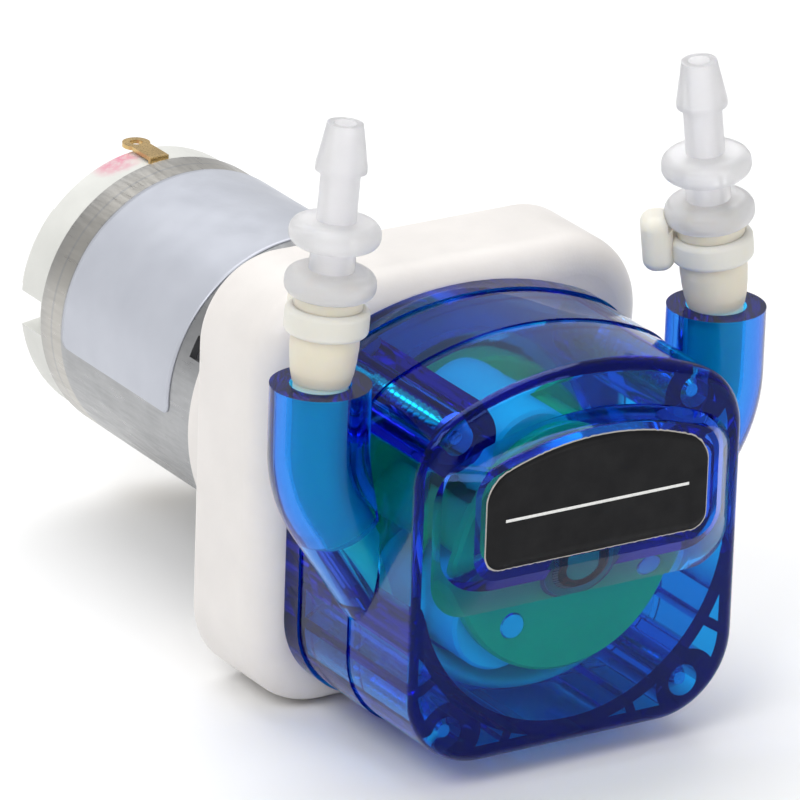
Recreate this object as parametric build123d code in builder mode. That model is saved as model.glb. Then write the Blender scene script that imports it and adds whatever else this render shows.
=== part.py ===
from build123d import *
import os
from math import asin, cos, degrees, radians, sin

os.makedirs("parts", exist_ok=True)

# Peristaltic pump driven by a brushed motor, in millimetres.
# The drive shaft lies along Y: +Y is the motor end, -Y the pump head, +Z the hose ports.
# Origin: the centre of the mounting flange's rear face, on the drive axis.

# Mounting flange and its collar
FLANGE_SIDE = 52.8
FLANGE_DEPTH = 14.8
FLANGE_CORNER = 10.0
FLANGE_EDGE = 4.0
FLANGE_REAR_EDGE = 0.6
COLLAR_RADIUS = 20.5
COLLAR_LENGTH = 12.3
COLLAR_CHAMFER = 0.7
POCKET_RADIUS = 16.5
WEB_FRONT = -3.2
SHAFT_HOLE_RADIUS = 3.0
PANEL_HOLE_OFFSET = 21.0
PANEL_HOLE_RADIUS = 1.25
PANEL_HOLE_DEPTH = 10.0

# Motor
CAN_RADIUS = 18.0
CAN_WALL = 1.0
CAN_FRONT = 1.3
CAN_REAR = 51.3
CAN_EDGE = 0.5
CAN_FIT = 0.05
CAN_BOSS_RADIUS = 6.0
CAN_BOSS_FRONT = -2.2
BEARING_RADIUS = 5.0
BEARING_FRONT = -1.2
BEARING_REAR = 2.8
VENT_ANGLES = (154.0, -26.0)
VENT_WIDTH = 2.8
VENT_START = 14.4
VENT_END = 17.9
SHAFT_RADIUS = 1.6
RUNNING_GAP = 0.05
SHAFT_FRONT = -36.5
SHAFT_REAR = 57.2
SHAFT_CHAMFER = 0.3
MOTOR_SCREW_OFFSET = 12.5
MOTOR_SCREW_RADIUS = 1.5
MOTOR_SCREW_END = 4.6
MOTOR_SCREW_CHAMFER = 0.5
BELL_RADIUS = 17.6
BELL_PLUG_FRONT = 47.3
BELL_INNER_RADIUS = 15.0
BELL_RIM = 56.9
BELL_REAR = 57.9
BELL_EDGE = 1.2
BELL_FLOOR = 2.4
BELL_SHAFT_GAP = 0.6
BELL_BOSS_RADIUS = 5.0
BELL_RAISED_ARCS = ((43.0, 79.0), (138.0, 171.0), (223.0, 259.0), (318.0, 351.0))
BELL_NOTCH_ANGLES = (181.0, 1.0)
BELL_NOTCH_WIDTH = 4.4
BELL_NOTCH_FLOOR = 0.8
BUSH_RADIUS = 3.0
BUSH_LENGTH = 4.5
TERMINAL_X = -1.2
TERMINAL_WIDTH = 2.6
TERMINAL_THICKNESS = 0.5
TERMINAL_FRONT = 51.9
TERMINAL_OUTER = 18.3
TERMINAL_INNER = 12.6
TERMINAL_TAIL = 47.6
EYE_CENTRE = 57.6
EYE_RADIUS = 1.75
EYE_HOLE = 0.8
BRUSH_ARM_X = 7.4
BRUSH_ARM_Y = 47.2
BRUSH_ARM_WIDTH = 5.0
BRUSH_ARM_THICKNESS = 0.4
BRUSH_SIZE = 3.0
BRUSH_DEPTH = 2.8
CLIP_GAP = 2.0
CLIP_THICKNESS = 0.6
MOTOR_SCREW_HEAD_RADIUS = 2.6
MOTOR_SCREW_HEAD_DEPTH = 1.8
DRIVE_SLOT = 0.7
DRIVE_DEPTH = 1.2
STICKER_THICKNESS = 0.12
STICKER_FRONT = 20.3
STICKER_REAR = 46.0
STICKER_START = -15.0
STICKER_END = 185.0

# Armature
CORE_RADIUS = 11.6
CORE_FRONT = 14.0
CORE_REAR = 40.0
POLES = 5
SLOT_RADIUS = 2.7
SLOT_CIRCLE = 7.8
SLOT_MOUTH = 1.6
COIL_BAR_RADIUS = 2.5
COIL_OUTER = 10.2
COIL_INNER = 3.6
COIL_LENGTH = 3.4
COIL_EDGE = 1.2
COMMUTATOR_RADIUS = 4.2
COMMUTATOR_FRONT = 44.2
COMMUTATOR_REAR = 50.0
COMMUTATOR_SLIT = 0.5
COMMUTATOR_SLIT_DEPTH = 3.2
RISER = 1.0
RISER_DEPTH = 1.2
SPACER_RADIUS = 2.8
SPACER_PLAY = 0.4
MAGNET_OUTER = 16.95
MAGNET_INNER = 12.6
MAGNET_SPAN = 132.0
MAGNET_FRONT = 11.0
MAGNET_REAR = 43.0

# Pump head; its joints are a hair open
JOINT_GAP = 0.04
HEAD_REAR = -FLANGE_DEPTH - JOINT_GAP
RIM_FRONT = -17.8
PARTING = -28.3
HEAD_INNER_FRONT = -40.5
HEAD_FRONT = -42.3
HEAD_HALF_WIDTH = 22.75
HEAD_BOTTOM = -24.0
HEAD_LOWER_CORNER = 10.5
HEAD_UPPER_CORNER = 9.5
ARCH_CENTRE = -17.5
ARCH_RADIUS = 41.7
RIM_STEP = 0.3
COVER_STEP = 0.25
HEAD_WALL = 2.0
HEAD_FRONT_EDGE = 1.4
ROTOR_OPENING = 18.0
TRACK_RADIUS = 20.6
TRACK_WALL = 1.8
TRACK_TOP = -3.0
UPPER_SCREW = (16.1, 16.8)
LOWER_SCREW = (16.3, -19.5)
UPPER_BOSS_RADIUS = 4.6
LOWER_BOSS_RADIUS = 4.2
RIB_ANGLES = (-33.0, -68.0)
RIB_THICKNESS = 1.2
RIB_LENGTH = 8.0
RIB_SINK = 0.5
PAD_FRONT = -45.4
# Each level of the label pad: depth from the head's front, half width, bottom, arch, corner radii
PAD_LEVELS = (
    (0.0, 20.3, -4.5, (-23.4, 41.6), (5.0, 5.5)),
    (-3.1, 16.6, 0.7, (-23.4, 40.6), (3.4, 3.6)),
)
PAD_HOLLOW_LEVELS = (
    (2.0, 18.0, -1.0, (-23.4, 39.6), (4.0, 4.2)),
    (-1.4, 15.2, 2.2, (-23.4, 39.0), (2.8, 3.0)),
)
JOURNAL_BOSS_RADIUS = 4.8
JOURNAL_BOSS_REAR = -39.3
COVER_BUSH_RADIUS = 3.4
COVER_BUSH_FRONT = -41.4
LABEL_THICKNESS = 0.15
LABEL_OUTLINE = (15.15, 1.9, (-18.8, 35.1), (2.0, 2.5))

# Long screws that clamp the head to the flange
SCREW_HEAD_RADIUS = 2.7
SCREW_HEAD_REAR = -0.5
SCREW_HEAD_FRONT = -2.9
SCREW_CREST = 1.9
SCREW_ROOT = 1.45
SCREW_TIP = -38.6
SCREW_TIP_RADIUS = 0.8
SCREW_TIP_ROOM = 0.6
SCREW_POINT = 1.2
SCREW_HEAD_EDGE = 0.8
THREAD_FLANK = 0.45
THREAD_CREST = 0.6
DRIVE_SPAN = 1.1
SCREW_PITCH = 1.25
SCREW_THREADS = 11
SCREW_CLEARANCE = 2.1
SCREW_PILOT = 1.95
COUNTERBORE_RADIUS = 3.0

# Hose ports: straight down, then in towards the track along its tangent
PORT_X = 27.1
PORT_TOP = 21.4
PORT_RADIUS = 5.9
PORT_BORE = 3.6
PORT_BEND = 14.0
PORT_SLANT = 33.7
MOUTH_START = 16.5
MOUTH_END = 6.0
MOUTH_SIZE = (7.4, 10.2)
MOUTH_CORNER = 3.4

# Pump tube
TUBE_RADIUS = 3.2
TUBE_LUMEN = 1.6
TUBE_SWOLLEN = 4.0
TUBE_SHOULDER = ((3.0, 0), (3.4, 0.35), (3.7, 1.6), (3.88, 3.0), (TUBE_SWOLLEN, 4.6))
TUBE_END = 10.5
TUBE_RUN_TOP = 5.0
TUBE_LEAN_BEND = 6.0
TUBE_LINE = TRACK_RADIUS - TUBE_RADIUS
SQUEEZED_HALF_THICKNESS = 1.4
SQUEEZED_HALF_WIDTH = 4.25
SQUEEZED_LINE = 19.1
SQUEEZED_START = -20.0
EASE_START = 16.0
LUMEN_END = 14.5
EASE_MIDDLE = (20.35, -1.28)
EASE_MIDDLE_SLANT = 28.0
EASE_MIDDLE_HALF = (2.35, 3.75)

# Hose connectors: heights are along each connector's own axis, from the port's top
LEAN = {"left": 4.15, "right": 7.5}
BARB_BORE = 1.3
INNER_BARB_TIP = (2.0, 0.6)
INNER_BARB_BASE = (3.0, 4.4)
INNER_STEM = 2.4
DISC_RADIUS = 5.3
DISC_EDGE = 1.4
LOWER_DISC = (10.6, 13.8)
MIDDLE_STEM = 2.65
UPPER_DISC = (16.6, 19.7)
UPPER_STEM = 2.3
BARB_BASE = (3.0, 25.6)
BARB_SHOULDER = 26.2
BARB_TIP = (2.1, 31.2)
BARB_OVERRUN = 1.0
TIE_BAND = (6.2, 9.4)
TIE_RADIUS = 4.9
TIE_EDGE = 0.7
DISC_ROOM = 0.1
TIE_HEAD = (3.8, 5.2, 6.8)
TIE_HEAD_CORNER = 1.6
TIE_HEAD_EDGE = 1.5
TIE_HEAD_MIDDLE = 8.9
TIE_HEAD_SEAT = 0.5
TIE_HEAD_ANGLE = {"left": 76.0, "right": 148.0}

# Rotor
ROLLER_ANGLES = (-131.7, -11.7, 108.3)
ROLLER_CIRCLE = 11.0
ROLLER_RADIUS = 6.4
ROLLER_REAR = -20.9
ROLLER_FRONT = -36.6
ROLLER_CHAMFER = 0.4
PIN_RADIUS = 1.65
PIN_REAR = -17.0
PIN_FRONT = -39.15
PIN_CHAMFER = 0.2
SUN_RADIUS = 4.4
SUN_REAR = -21.2
REAR_DISC_RADIUS = 16.0
REAR_DISC = (-16.6, -20.6)
FRONT_DISC_RADIUS = 15.0
FRONT_DISC = (-36.9, -39.0)
PILLAR_CIRCLE = 11.4
PILLAR_RADIUS = 2.8
PILLAR_TIP_RADIUS = 1.8
PILLAR_TIP_FRONT = -38.2
JOURNAL_RADIUS = 2.2
JOURNAL_FRONT = -41.2

TOLERANCE = 0.01
DRIVE_AXIS = Axis((0, 0, 0), (0, 1, 0))
SIDES = {"left": -1, "right": 1}


def slice_at(y):
    """Sketch plane square to the drive axis: sketch x is +X, sketch y is +Z, extruding goes forward."""
    return Plane.XZ.offset(-y)


def polar(radius, angle):
    """Point (x, z) at a radius and an angle in degrees from +X towards +Z."""
    return (radius * cos(radians(angle)), radius * sin(radians(angle)))


def bar(radius, rear, front, centres=((0, 0),), mode=Mode.ADD):
    """Round bars or holes along the drive direction, from rear forward to front."""
    with BuildSketch(slice_at(rear)) as profile:
        with Locations(*centres):
            Circle(radius)
    extrude(profile.sketch, amount=rear - front, mode=mode)


def turned(points, plane=Plane.XY, mode=Mode.ADD):
    """Solid of revolution about the plane's y axis, from (radius, height) points."""
    with BuildSketch(plane) as profile:
        with BuildLine():
            Polyline(*points, close=True)
        make_face()
    revolve(profile.sketch, axis=Axis(plane.origin, plane.y_dir), mode=mode)


def sector(inner, outer, start, end, rear, front, mode=Mode.ADD):
    """Part of a ring about the drive axis, between two angles and two heights."""
    radial = Vector(cos(radians(start)), 0, sin(radians(start)))
    plane = Plane(origin=(0, 0, 0), x_dir=radial, z_dir=radial.cross(Vector(0, 1, 0)))
    with BuildSketch(plane) as profile:
        with Locations(((inner + outer) / 2, (rear + front) / 2)):
            Rectangle(outer - inner, rear - front)
    revolve(profile.sketch, axis=DRIVE_AXIS, revolution_arc=start - end, mode=mode)


def arched_outline(y, half_width, bottom, arch, corners, inset=0.0):
    """Flat sides and bottom under an arched top; arch is (centre z, radius), corners (lower, upper)."""
    with BuildSketch(slice_at(y)) as outline:
        with Locations((0, arch[0])):
            Circle(arch[1])
        with Locations((0, bottom)):
            Rectangle(
                2 * half_width,
                2 * arch[1],
                align=(Align.CENTER, Align.MIN),
                mode=Mode.INTERSECT,
            )
        fillet(outline.vertices().group_by(Axis.Y)[0], corners[0])
        fillet(outline.vertices().group_by(Axis.Y)[-1], corners[1])
        if inset:
            offset(amount=-inset)
    return outline.sketch


def head_outline(y, inset=0.0):
    """Outline of the pump head."""
    return arched_outline(
        y,
        HEAD_HALF_WIDTH,
        HEAD_BOTTOM,
        (ARCH_CENTRE, ARCH_RADIUS),
        (HEAD_LOWER_CORNER, HEAD_UPPER_CORNER),
        inset,
    )


def both_sides(point):
    """The point (x, z) and its mirror image."""
    return ((-point[0], point[1]), point)


SCREW_CENTRES = (*both_sides(UPPER_SCREW), *both_sides(LOWER_SCREW))
PANEL_HOLES = [
    (x, z)
    for x in (-PANEL_HOLE_OFFSET, PANEL_HOLE_OFFSET)
    for z in (-PANEL_HOLE_OFFSET, PANEL_HOLE_OFFSET)
]

# ---------------------------------------------------------------- flange

with BuildPart() as mount_flange:
    with BuildSketch(slice_at(0)):
        RectangleRounded(FLANGE_SIDE, FLANGE_SIDE, FLANGE_CORNER)
    extrude(amount=FLANGE_DEPTH)
    fillet(mount_flange.faces().sort_by(Axis.Y)[0].edges(), FLANGE_EDGE)
    fillet(mount_flange.faces().sort_by(Axis.Y)[-1].edges(), FLANGE_REAR_EDGE)
    bar(COLLAR_RADIUS, COLLAR_LENGTH, 0)
    chamfer(mount_flange.faces().sort_by(Axis.Y)[-1].edges(), COLLAR_CHAMFER)
    bar(CAN_RADIUS + CAN_FIT, COLLAR_LENGTH, CAN_FRONT, mode=Mode.SUBTRACT)
    bar(POCKET_RADIUS, WEB_FRONT, -FLANGE_DEPTH, mode=Mode.SUBTRACT)
    bar(CAN_BOSS_RADIUS + CAN_FIT, CAN_FRONT, CAN_BOSS_FRONT, mode=Mode.SUBTRACT)
    bar(SHAFT_HOLE_RADIUS, 0, WEB_FRONT, mode=Mode.SUBTRACT)
    bar(
        MOTOR_SCREW_RADIUS + CAN_FIT,
        CAN_FRONT,
        WEB_FRONT,
        both_sides((MOTOR_SCREW_OFFSET, 0)),
        Mode.SUBTRACT,
    )
    bar(SCREW_CLEARANCE, 0, -FLANGE_DEPTH, SCREW_CENTRES, Mode.SUBTRACT)
    bar(COUNTERBORE_RADIUS, 0, SCREW_HEAD_FRONT, SCREW_CENTRES, Mode.SUBTRACT)
    bar(PANEL_HOLE_RADIUS, 0, -PANEL_HOLE_DEPTH, PANEL_HOLES, Mode.SUBTRACT)
mount_flange.part.label = "mount_flange"

# ---------------------------------------------------------------- motor

with BuildPart() as motor_can:
    bar(CAN_RADIUS, CAN_REAR, CAN_FRONT)
    bar(CAN_BOSS_RADIUS, CAN_FRONT, CAN_BOSS_FRONT)
    fillet(motor_can.edges().filter_by(GeomType.CIRCLE).group_by(Axis.Y)[0], CAN_EDGE)
    bar(CAN_RADIUS - CAN_WALL, CAN_REAR, CAN_FRONT + CAN_WALL, mode=Mode.SUBTRACT)
    bar(BEARING_RADIUS, CAN_FRONT + CAN_WALL, BEARING_FRONT, mode=Mode.SUBTRACT)
    bar(SHAFT_HOLE_RADIUS, BEARING_FRONT, CAN_BOSS_FRONT, mode=Mode.SUBTRACT)
    bar(
        MOTOR_SCREW_RADIUS,
        CAN_FRONT + CAN_WALL,
        CAN_FRONT,
        both_sides((MOTOR_SCREW_OFFSET, 0)),
        Mode.SUBTRACT,
    )
    for angle in VENT_ANGLES:
        half = degrees(asin(VENT_WIDTH / 2 / CAN_RADIUS))
        sector(
            CAN_RADIUS - 2 * CAN_WALL,
            CAN_RADIUS + CAN_WALL,
            angle - half,
            angle + half,
            VENT_END,
            VENT_START,
            Mode.SUBTRACT,
        )
motor_can.part.label = "motor_can"

with BuildPart() as front_bearing:
    turned(
        [
            (SHAFT_RADIUS + RUNNING_GAP, BEARING_FRONT),
            (BEARING_RADIUS, BEARING_FRONT),
            (BEARING_RADIUS, BEARING_REAR),
            (SHAFT_RADIUS + RUNNING_GAP, BEARING_REAR),
        ]
    )
front_bearing.part.label = "front_bearing"

# Each terminal's strip runs out of the brush chamber, up through the bell and back along its rim
with BuildPart() as terminal_strips:
    for side in (-1, 1):
        with BuildSketch(Plane.YZ.offset(TERMINAL_X - TERMINAL_WIDTH / 2)) as strip:
            with BuildLine():
                outline = [
                    (TERMINAL_TAIL, TERMINAL_INNER),
                    (TERMINAL_FRONT + TERMINAL_THICKNESS, TERMINAL_INNER),
                    (TERMINAL_FRONT + TERMINAL_THICKNESS, TERMINAL_OUTER - TERMINAL_THICKNESS),
                    (EYE_CENTRE, TERMINAL_OUTER - TERMINAL_THICKNESS),
                    (EYE_CENTRE, TERMINAL_OUTER),
                    (TERMINAL_FRONT, TERMINAL_OUTER),
                    (TERMINAL_FRONT, TERMINAL_INNER + TERMINAL_THICKNESS),
                    (TERMINAL_TAIL, TERMINAL_INNER + TERMINAL_THICKNESS),
                ]
                Polyline(*[(y, side * z) for y, z in outline], close=True)
            make_face()
        extrude(strip.sketch, amount=TERMINAL_WIDTH)

with BuildPart() as bell_limit:
    bar(BELL_RADIUS, BELL_REAR, BELL_PLUG_FRONT)
    fillet(bell_limit.faces().sort_by(Axis.Y)[-1].edges(), BELL_EDGE)

with BuildPart() as motor_end_bell:
    bar(CAN_RADIUS - CAN_WALL - CAN_FIT, CAN_REAR, BELL_PLUG_FRONT)
    bar(BELL_RADIUS, BELL_RIM, CAN_REAR)
    for start, end in BELL_RAISED_ARCS:
        sector(BELL_INNER_RADIUS, BELL_RADIUS, start, end, BELL_REAR, BELL_RIM)
    bar(BELL_INNER_RADIUS, CAN_REAR, BELL_PLUG_FRONT, mode=Mode.SUBTRACT)
    bar(BELL_INNER_RADIUS, BELL_RIM, CAN_REAR + BELL_FLOOR, mode=Mode.SUBTRACT)
    bar(BELL_BOSS_RADIUS, BELL_REAR, CAN_REAR)
    bar(BUSH_RADIUS, BELL_REAR, BELL_REAR - BUSH_LENGTH, mode=Mode.SUBTRACT)
    bar(SHAFT_RADIUS + BELL_SHAFT_GAP, BELL_REAR, CAN_REAR, mode=Mode.SUBTRACT)
    half = degrees(asin(BELL_NOTCH_WIDTH / 2 / BELL_RADIUS))
    for angle in BELL_NOTCH_ANGLES:
        sector(
            BELL_INNER_RADIUS,
            BELL_RADIUS + CAN_WALL,
            angle - half,
            angle + half,
            BELL_REAR,
            CAN_REAR + BELL_NOTCH_FLOOR,
            Mode.SUBTRACT,
        )
    add(bell_limit.part, mode=Mode.INTERSECT)
    add(terminal_strips.part, mode=Mode.SUBTRACT)
motor_end_bell.part.label = "motor_end_bell"

with BuildPart() as rear_bush:
    turned(
        [
            (SHAFT_RADIUS + RUNNING_GAP, BELL_REAR - BUSH_LENGTH),
            (BUSH_RADIUS, BELL_REAR - BUSH_LENGTH),
            (BUSH_RADIUS, BELL_REAR),
            (SHAFT_RADIUS + RUNNING_GAP, BELL_REAR),
        ]
    )
rear_bush.part.label = "rear_bush"

with BuildPart() as motor_terminals:
    add(terminal_strips.part)
    for side in (-1, 1):
        top = Plane((0, 0, side * TERMINAL_OUTER), x_dir=(side, 0, 0), z_dir=(0, 0, side))
        with BuildSketch(top) as eye:
            with Locations((side * TERMINAL_X, EYE_CENTRE)):
                Circle(EYE_RADIUS)
        extrude(eye.sketch, amount=-TERMINAL_THICKNESS)
        with BuildSketch(top) as hole:
            with Locations((side * TERMINAL_X, EYE_CENTRE)):
                Circle(EYE_HOLE)
        extrude(hole.sketch, amount=-TERMINAL_THICKNESS, mode=Mode.SUBTRACT)
motor_terminals.part.label = "motor_terminals"

with BuildPart() as brush_arms:
    for side in (-1, 1):
        with BuildSketch(Plane.YZ.offset(side * BRUSH_ARM_X)) as arm:
            with Locations((BRUSH_ARM_Y, 0)):
                Rectangle(BRUSH_SIZE, 2 * BRUSH_SIZE)
            with Locations((BRUSH_ARM_Y, BRUSH_SIZE)):
                Rectangle(
                    CAN_REAR - BRUSH_ARM_Y,
                    BRUSH_ARM_WIDTH,
                    align=(Align.MIN, Align.MIN),
                )
                Rectangle(
                    BRUSH_SIZE / 2,
                    BRUSH_ARM_WIDTH,
                    align=(Align.MAX, Align.MIN),
                )
        extrude(arm.sketch, amount=side * BRUSH_ARM_THICKNESS)
brush_arms.part.label = "brush_arms"

with BuildPart() as carbon_brushes:
    for side in (-1, 1):
        with BuildSketch(Plane.YZ.offset(side * BRUSH_ARM_X)) as block:
            with Locations((BRUSH_ARM_Y, 0)):
                Rectangle(BRUSH_SIZE, BRUSH_SIZE)
        extrude(block.sketch, amount=-side * BRUSH_DEPTH)
carbon_brushes.part.label = "carbon_brushes"

with BuildPart() as magnets:
    for centre in (0, 180):
        sector(
            MAGNET_INNER,
            MAGNET_OUTER,
            centre - MAGNET_SPAN / 2,
            centre + MAGNET_SPAN / 2,
            MAGNET_REAR,
            MAGNET_FRONT,
        )
magnets.part.label = "magnets"

with BuildPart() as magnet_clips:
    for centre in (90, 270):
        half = 90 - MAGNET_SPAN / 2 - CLIP_GAP
        sector(
            MAGNET_OUTER - CLIP_THICKNESS,
            MAGNET_OUTER,
            centre - half,
            centre + half,
            MAGNET_REAR - 2,
            MAGNET_FRONT + 2,
        )
magnet_clips.part.label = "magnet_clips"

with BuildPart() as motor_sticker:
    sector(
        CAN_RADIUS,
        CAN_RADIUS + STICKER_THICKNESS,
        STICKER_START,
        STICKER_END,
        STICKER_REAR,
        STICKER_FRONT,
    )
motor_sticker.part.label = "motor_sticker"

with BuildPart() as motor_screws:
    centres = both_sides((MOTOR_SCREW_OFFSET, 0))
    bar(MOTOR_SCREW_RADIUS, MOTOR_SCREW_END, WEB_FRONT, centres)
    bar(MOTOR_SCREW_HEAD_RADIUS, WEB_FRONT, WEB_FRONT - MOTOR_SCREW_HEAD_DEPTH, centres)
    chamfer(motor_screws.edges().filter_by(GeomType.CIRCLE).group_by(Axis.Y)[0], MOTOR_SCREW_CHAMFER)
    for angle in (0, 90):
        with BuildSketch(slice_at(WEB_FRONT - MOTOR_SCREW_HEAD_DEPTH / 2)) as recess:
            with Locations(*centres):
                Rectangle(2 * MOTOR_SCREW_RADIUS, DRIVE_SLOT, rotation=angle)
        extrude(recess.sketch, amount=MOTOR_SCREW_HEAD_DEPTH, mode=Mode.SUBTRACT)
motor_screws.part.label = "motor_screws"

# ---------------------------------------------------------------- armature

with BuildPart() as motor_shaft:
    bar(SHAFT_RADIUS, SHAFT_REAR, SHAFT_FRONT)
    chamfer(motor_shaft.edges().filter_by(GeomType.CIRCLE), SHAFT_CHAMFER)
motor_shaft.part.label = "motor_shaft"

with BuildPart() as armature_core:
    bar(CORE_RADIUS, CORE_REAR, CORE_FRONT)
    with BuildSketch(slice_at(CORE_REAR)) as slots:
        with PolarLocations(SLOT_CIRCLE, POLES):
            Circle(SLOT_RADIUS)
        with PolarLocations(CORE_RADIUS, POLES):
            Rectangle(2 * (CORE_RADIUS - SLOT_CIRCLE), SLOT_MOUTH)
    extrude(slots.sketch, amount=CORE_REAR - CORE_FRONT, mode=Mode.SUBTRACT)
    bar(SHAFT_RADIUS, CORE_REAR, CORE_FRONT, mode=Mode.SUBTRACT)
armature_core.part.label = "armature_core"

with BuildPart() as armature_windings:
    with BuildSketch(slice_at(CORE_REAR + COIL_LENGTH)) as bars:
        with PolarLocations(SLOT_CIRCLE, POLES):
            Circle(COIL_BAR_RADIUS)
    extrude(bars.sketch, amount=CORE_REAR - CORE_FRONT + 2 * COIL_LENGTH)
    for rear in (CORE_REAR + COIL_LENGTH, CORE_FRONT):
        bar(COIL_OUTER, rear, rear - COIL_LENGTH)
        bar(COIL_INNER, rear, rear - COIL_LENGTH, mode=Mode.SUBTRACT)
    ends = armature_windings.edges().filter_by(GeomType.CIRCLE)
    fillet(ends.filter_by(lambda e: abs(e.radius - COIL_OUTER) < TOLERANCE), COIL_EDGE)
armature_windings.part.label = "armature_windings"

with BuildPart() as commutator:
    bar(COMMUTATOR_RADIUS + RISER, COMMUTATOR_FRONT + RISER_DEPTH, COMMUTATOR_FRONT)
    bar(COMMUTATOR_RADIUS, COMMUTATOR_REAR, COMMUTATOR_FRONT)
    with BuildSketch(slice_at(COMMUTATOR_REAR)) as gaps:
        with PolarLocations(COMMUTATOR_RADIUS + RISER, POLES):
            Rectangle(COMMUTATOR_SLIT_DEPTH, COMMUTATOR_SLIT)
    extrude(gaps.sketch, amount=COMMUTATOR_REAR - COMMUTATOR_FRONT, mode=Mode.SUBTRACT)
    bar(SHAFT_RADIUS, COMMUTATOR_REAR, COMMUTATOR_FRONT, mode=Mode.SUBTRACT)
commutator.part.label = "commutator"

with BuildPart() as shaft_spacer:
    bar(SPACER_RADIUS, CORE_FRONT - COIL_LENGTH - SPACER_PLAY, BEARING_REAR + SPACER_PLAY)
    bar(SHAFT_RADIUS, CORE_FRONT, BEARING_REAR, mode=Mode.SUBTRACT)
shaft_spacer.part.label = "shaft_spacer"

with BuildPart() as drive_sleeve:
    bar(SUN_RADIUS, SUN_REAR, SHAFT_FRONT)
    chamfer(drive_sleeve.edges().filter_by(GeomType.CIRCLE), ROLLER_CHAMFER)
    bar(SHAFT_RADIUS, SUN_REAR, SHAFT_FRONT, mode=Mode.SUBTRACT)
drive_sleeve.part.label = "drive_sleeve"

# ---------------------------------------------------------------- rotor

PIN_CENTRES = [polar(ROLLER_CIRCLE, angle) for angle in ROLLER_ANGLES]
PILLAR_CENTRES = [polar(PILLAR_CIRCLE, angle + 60) for angle in ROLLER_ANGLES]

with BuildPart() as rotor_rear_disc:
    bar(REAR_DISC_RADIUS, *REAR_DISC)
    chamfer(rotor_rear_disc.edges().filter_by(GeomType.CIRCLE), ROLLER_CHAMFER)
    bar(PILLAR_RADIUS, REAR_DISC[1], FRONT_DISC[0], PILLAR_CENTRES)
    bar(PILLAR_TIP_RADIUS, FRONT_DISC[0], PILLAR_TIP_FRONT, PILLAR_CENTRES)
    bar(PIN_RADIUS, PIN_REAR, REAR_DISC[1], PIN_CENTRES, Mode.SUBTRACT)
    bar(BUSH_RADIUS, *REAR_DISC, mode=Mode.SUBTRACT)
rotor_rear_disc.part.label = "rotor_rear_disc"

with BuildPart() as rotor_rear_bush:
    bar(BUSH_RADIUS, *REAR_DISC)
    bar(SHAFT_RADIUS + RUNNING_GAP, *REAR_DISC, mode=Mode.SUBTRACT)
rotor_rear_bush.part.label = "rotor_rear_bush"

with BuildPart() as rotor_front_disc:
    bar(FRONT_DISC_RADIUS, *FRONT_DISC)
    chamfer(rotor_front_disc.edges().filter_by(GeomType.CIRCLE), ROLLER_CHAMFER)
    bar(JOURNAL_RADIUS, FRONT_DISC[1], JOURNAL_FRONT)
    bar(PILLAR_TIP_RADIUS, FRONT_DISC[0], PILLAR_TIP_FRONT, PILLAR_CENTRES, Mode.SUBTRACT)
    bar(PIN_RADIUS, *FRONT_DISC, PIN_CENTRES, Mode.SUBTRACT)
rotor_front_disc.part.label = "rotor_front_disc"

ROTOR_PIECES = {}
for number, centre in enumerate(PIN_CENTRES, start=1):
    with BuildPart() as roller_pin:
        bar(PIN_RADIUS, PIN_REAR, PIN_FRONT, [centre])
        chamfer(roller_pin.edges().filter_by(GeomType.CIRCLE), PIN_CHAMFER)
    roller_pin.part.label = f"roller_pin_{number}"
    with BuildPart() as roller:
        bar(ROLLER_RADIUS, ROLLER_REAR, ROLLER_FRONT, [centre])
        chamfer(roller.edges().filter_by(GeomType.CIRCLE), ROLLER_CHAMFER)
        bar(PIN_RADIUS + RUNNING_GAP, ROLLER_REAR, ROLLER_FRONT, [centre], Mode.SUBTRACT)
    roller.part.label = f"roller_{number}"
    ROTOR_PIECES[f"roller_pin_{number}"] = roller_pin.part
    ROTOR_PIECES[f"roller_{number}"] = roller.part

# ---------------------------------------------------------------- pump head

# Each port runs down to a corner and then along a line that touches the tube's circle
TANGENT = polar(TUBE_LINE, -PORT_SLANT)
SLANT_UP = (sin(radians(PORT_SLANT)), cos(radians(PORT_SLANT)))
CORNER_RUN = (PORT_X - TANGENT[0]) / SLANT_UP[0]
PORT_CORNER_Z = TANGENT[1] + CORNER_RUN * SLANT_UP[1]


def along_port(distance, side):
    """Point on the slanted part of a port's centre line, at a distance from where it meets the track."""
    x = TANGENT[0] + distance * SLANT_UP[0]
    return Vector(side * x, PARTING, TANGENT[1] + distance * SLANT_UP[1])


def port_section(distance, side):
    """Plane across the slanted part of a port: sketch x points outward and sketch y along the drive."""
    normal = Vector(-side * SLANT_UP[0], 0, -SLANT_UP[1])
    return Plane(along_port(distance, side), x_dir=(side * SLANT_UP[1], 0, -SLANT_UP[0]), z_dir=normal)


def port_pipe(radius, side, top, distance):
    """Solid that follows a port's centre line, from its top to a distance from the track."""
    end = along_port(distance, side)
    with BuildPart() as pipe:
        with BuildLine() as path:
            FilletPolyline(
                (side * PORT_X, PARTING, top),
                (side * PORT_X, PARTING, PORT_CORNER_Z),
                tuple(end),
                radius=PORT_BEND,
            )
        with BuildSketch(Plane(origin=path.line @ 0, z_dir=path.line % 0)):
            Circle(radius)
        sweep(path=path.line)
    return pipe.part


with BuildPart() as port_walls:
    for side in SIDES.values():
        add(port_pipe(PORT_RADIUS, side, PORT_TOP, 0))
    hollow = head_outline(RIM_FRONT, RIM_STEP + HEAD_WALL)
    extrude(hollow, amount=RIM_FRONT - HEAD_FRONT, mode=Mode.SUBTRACT)

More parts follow.
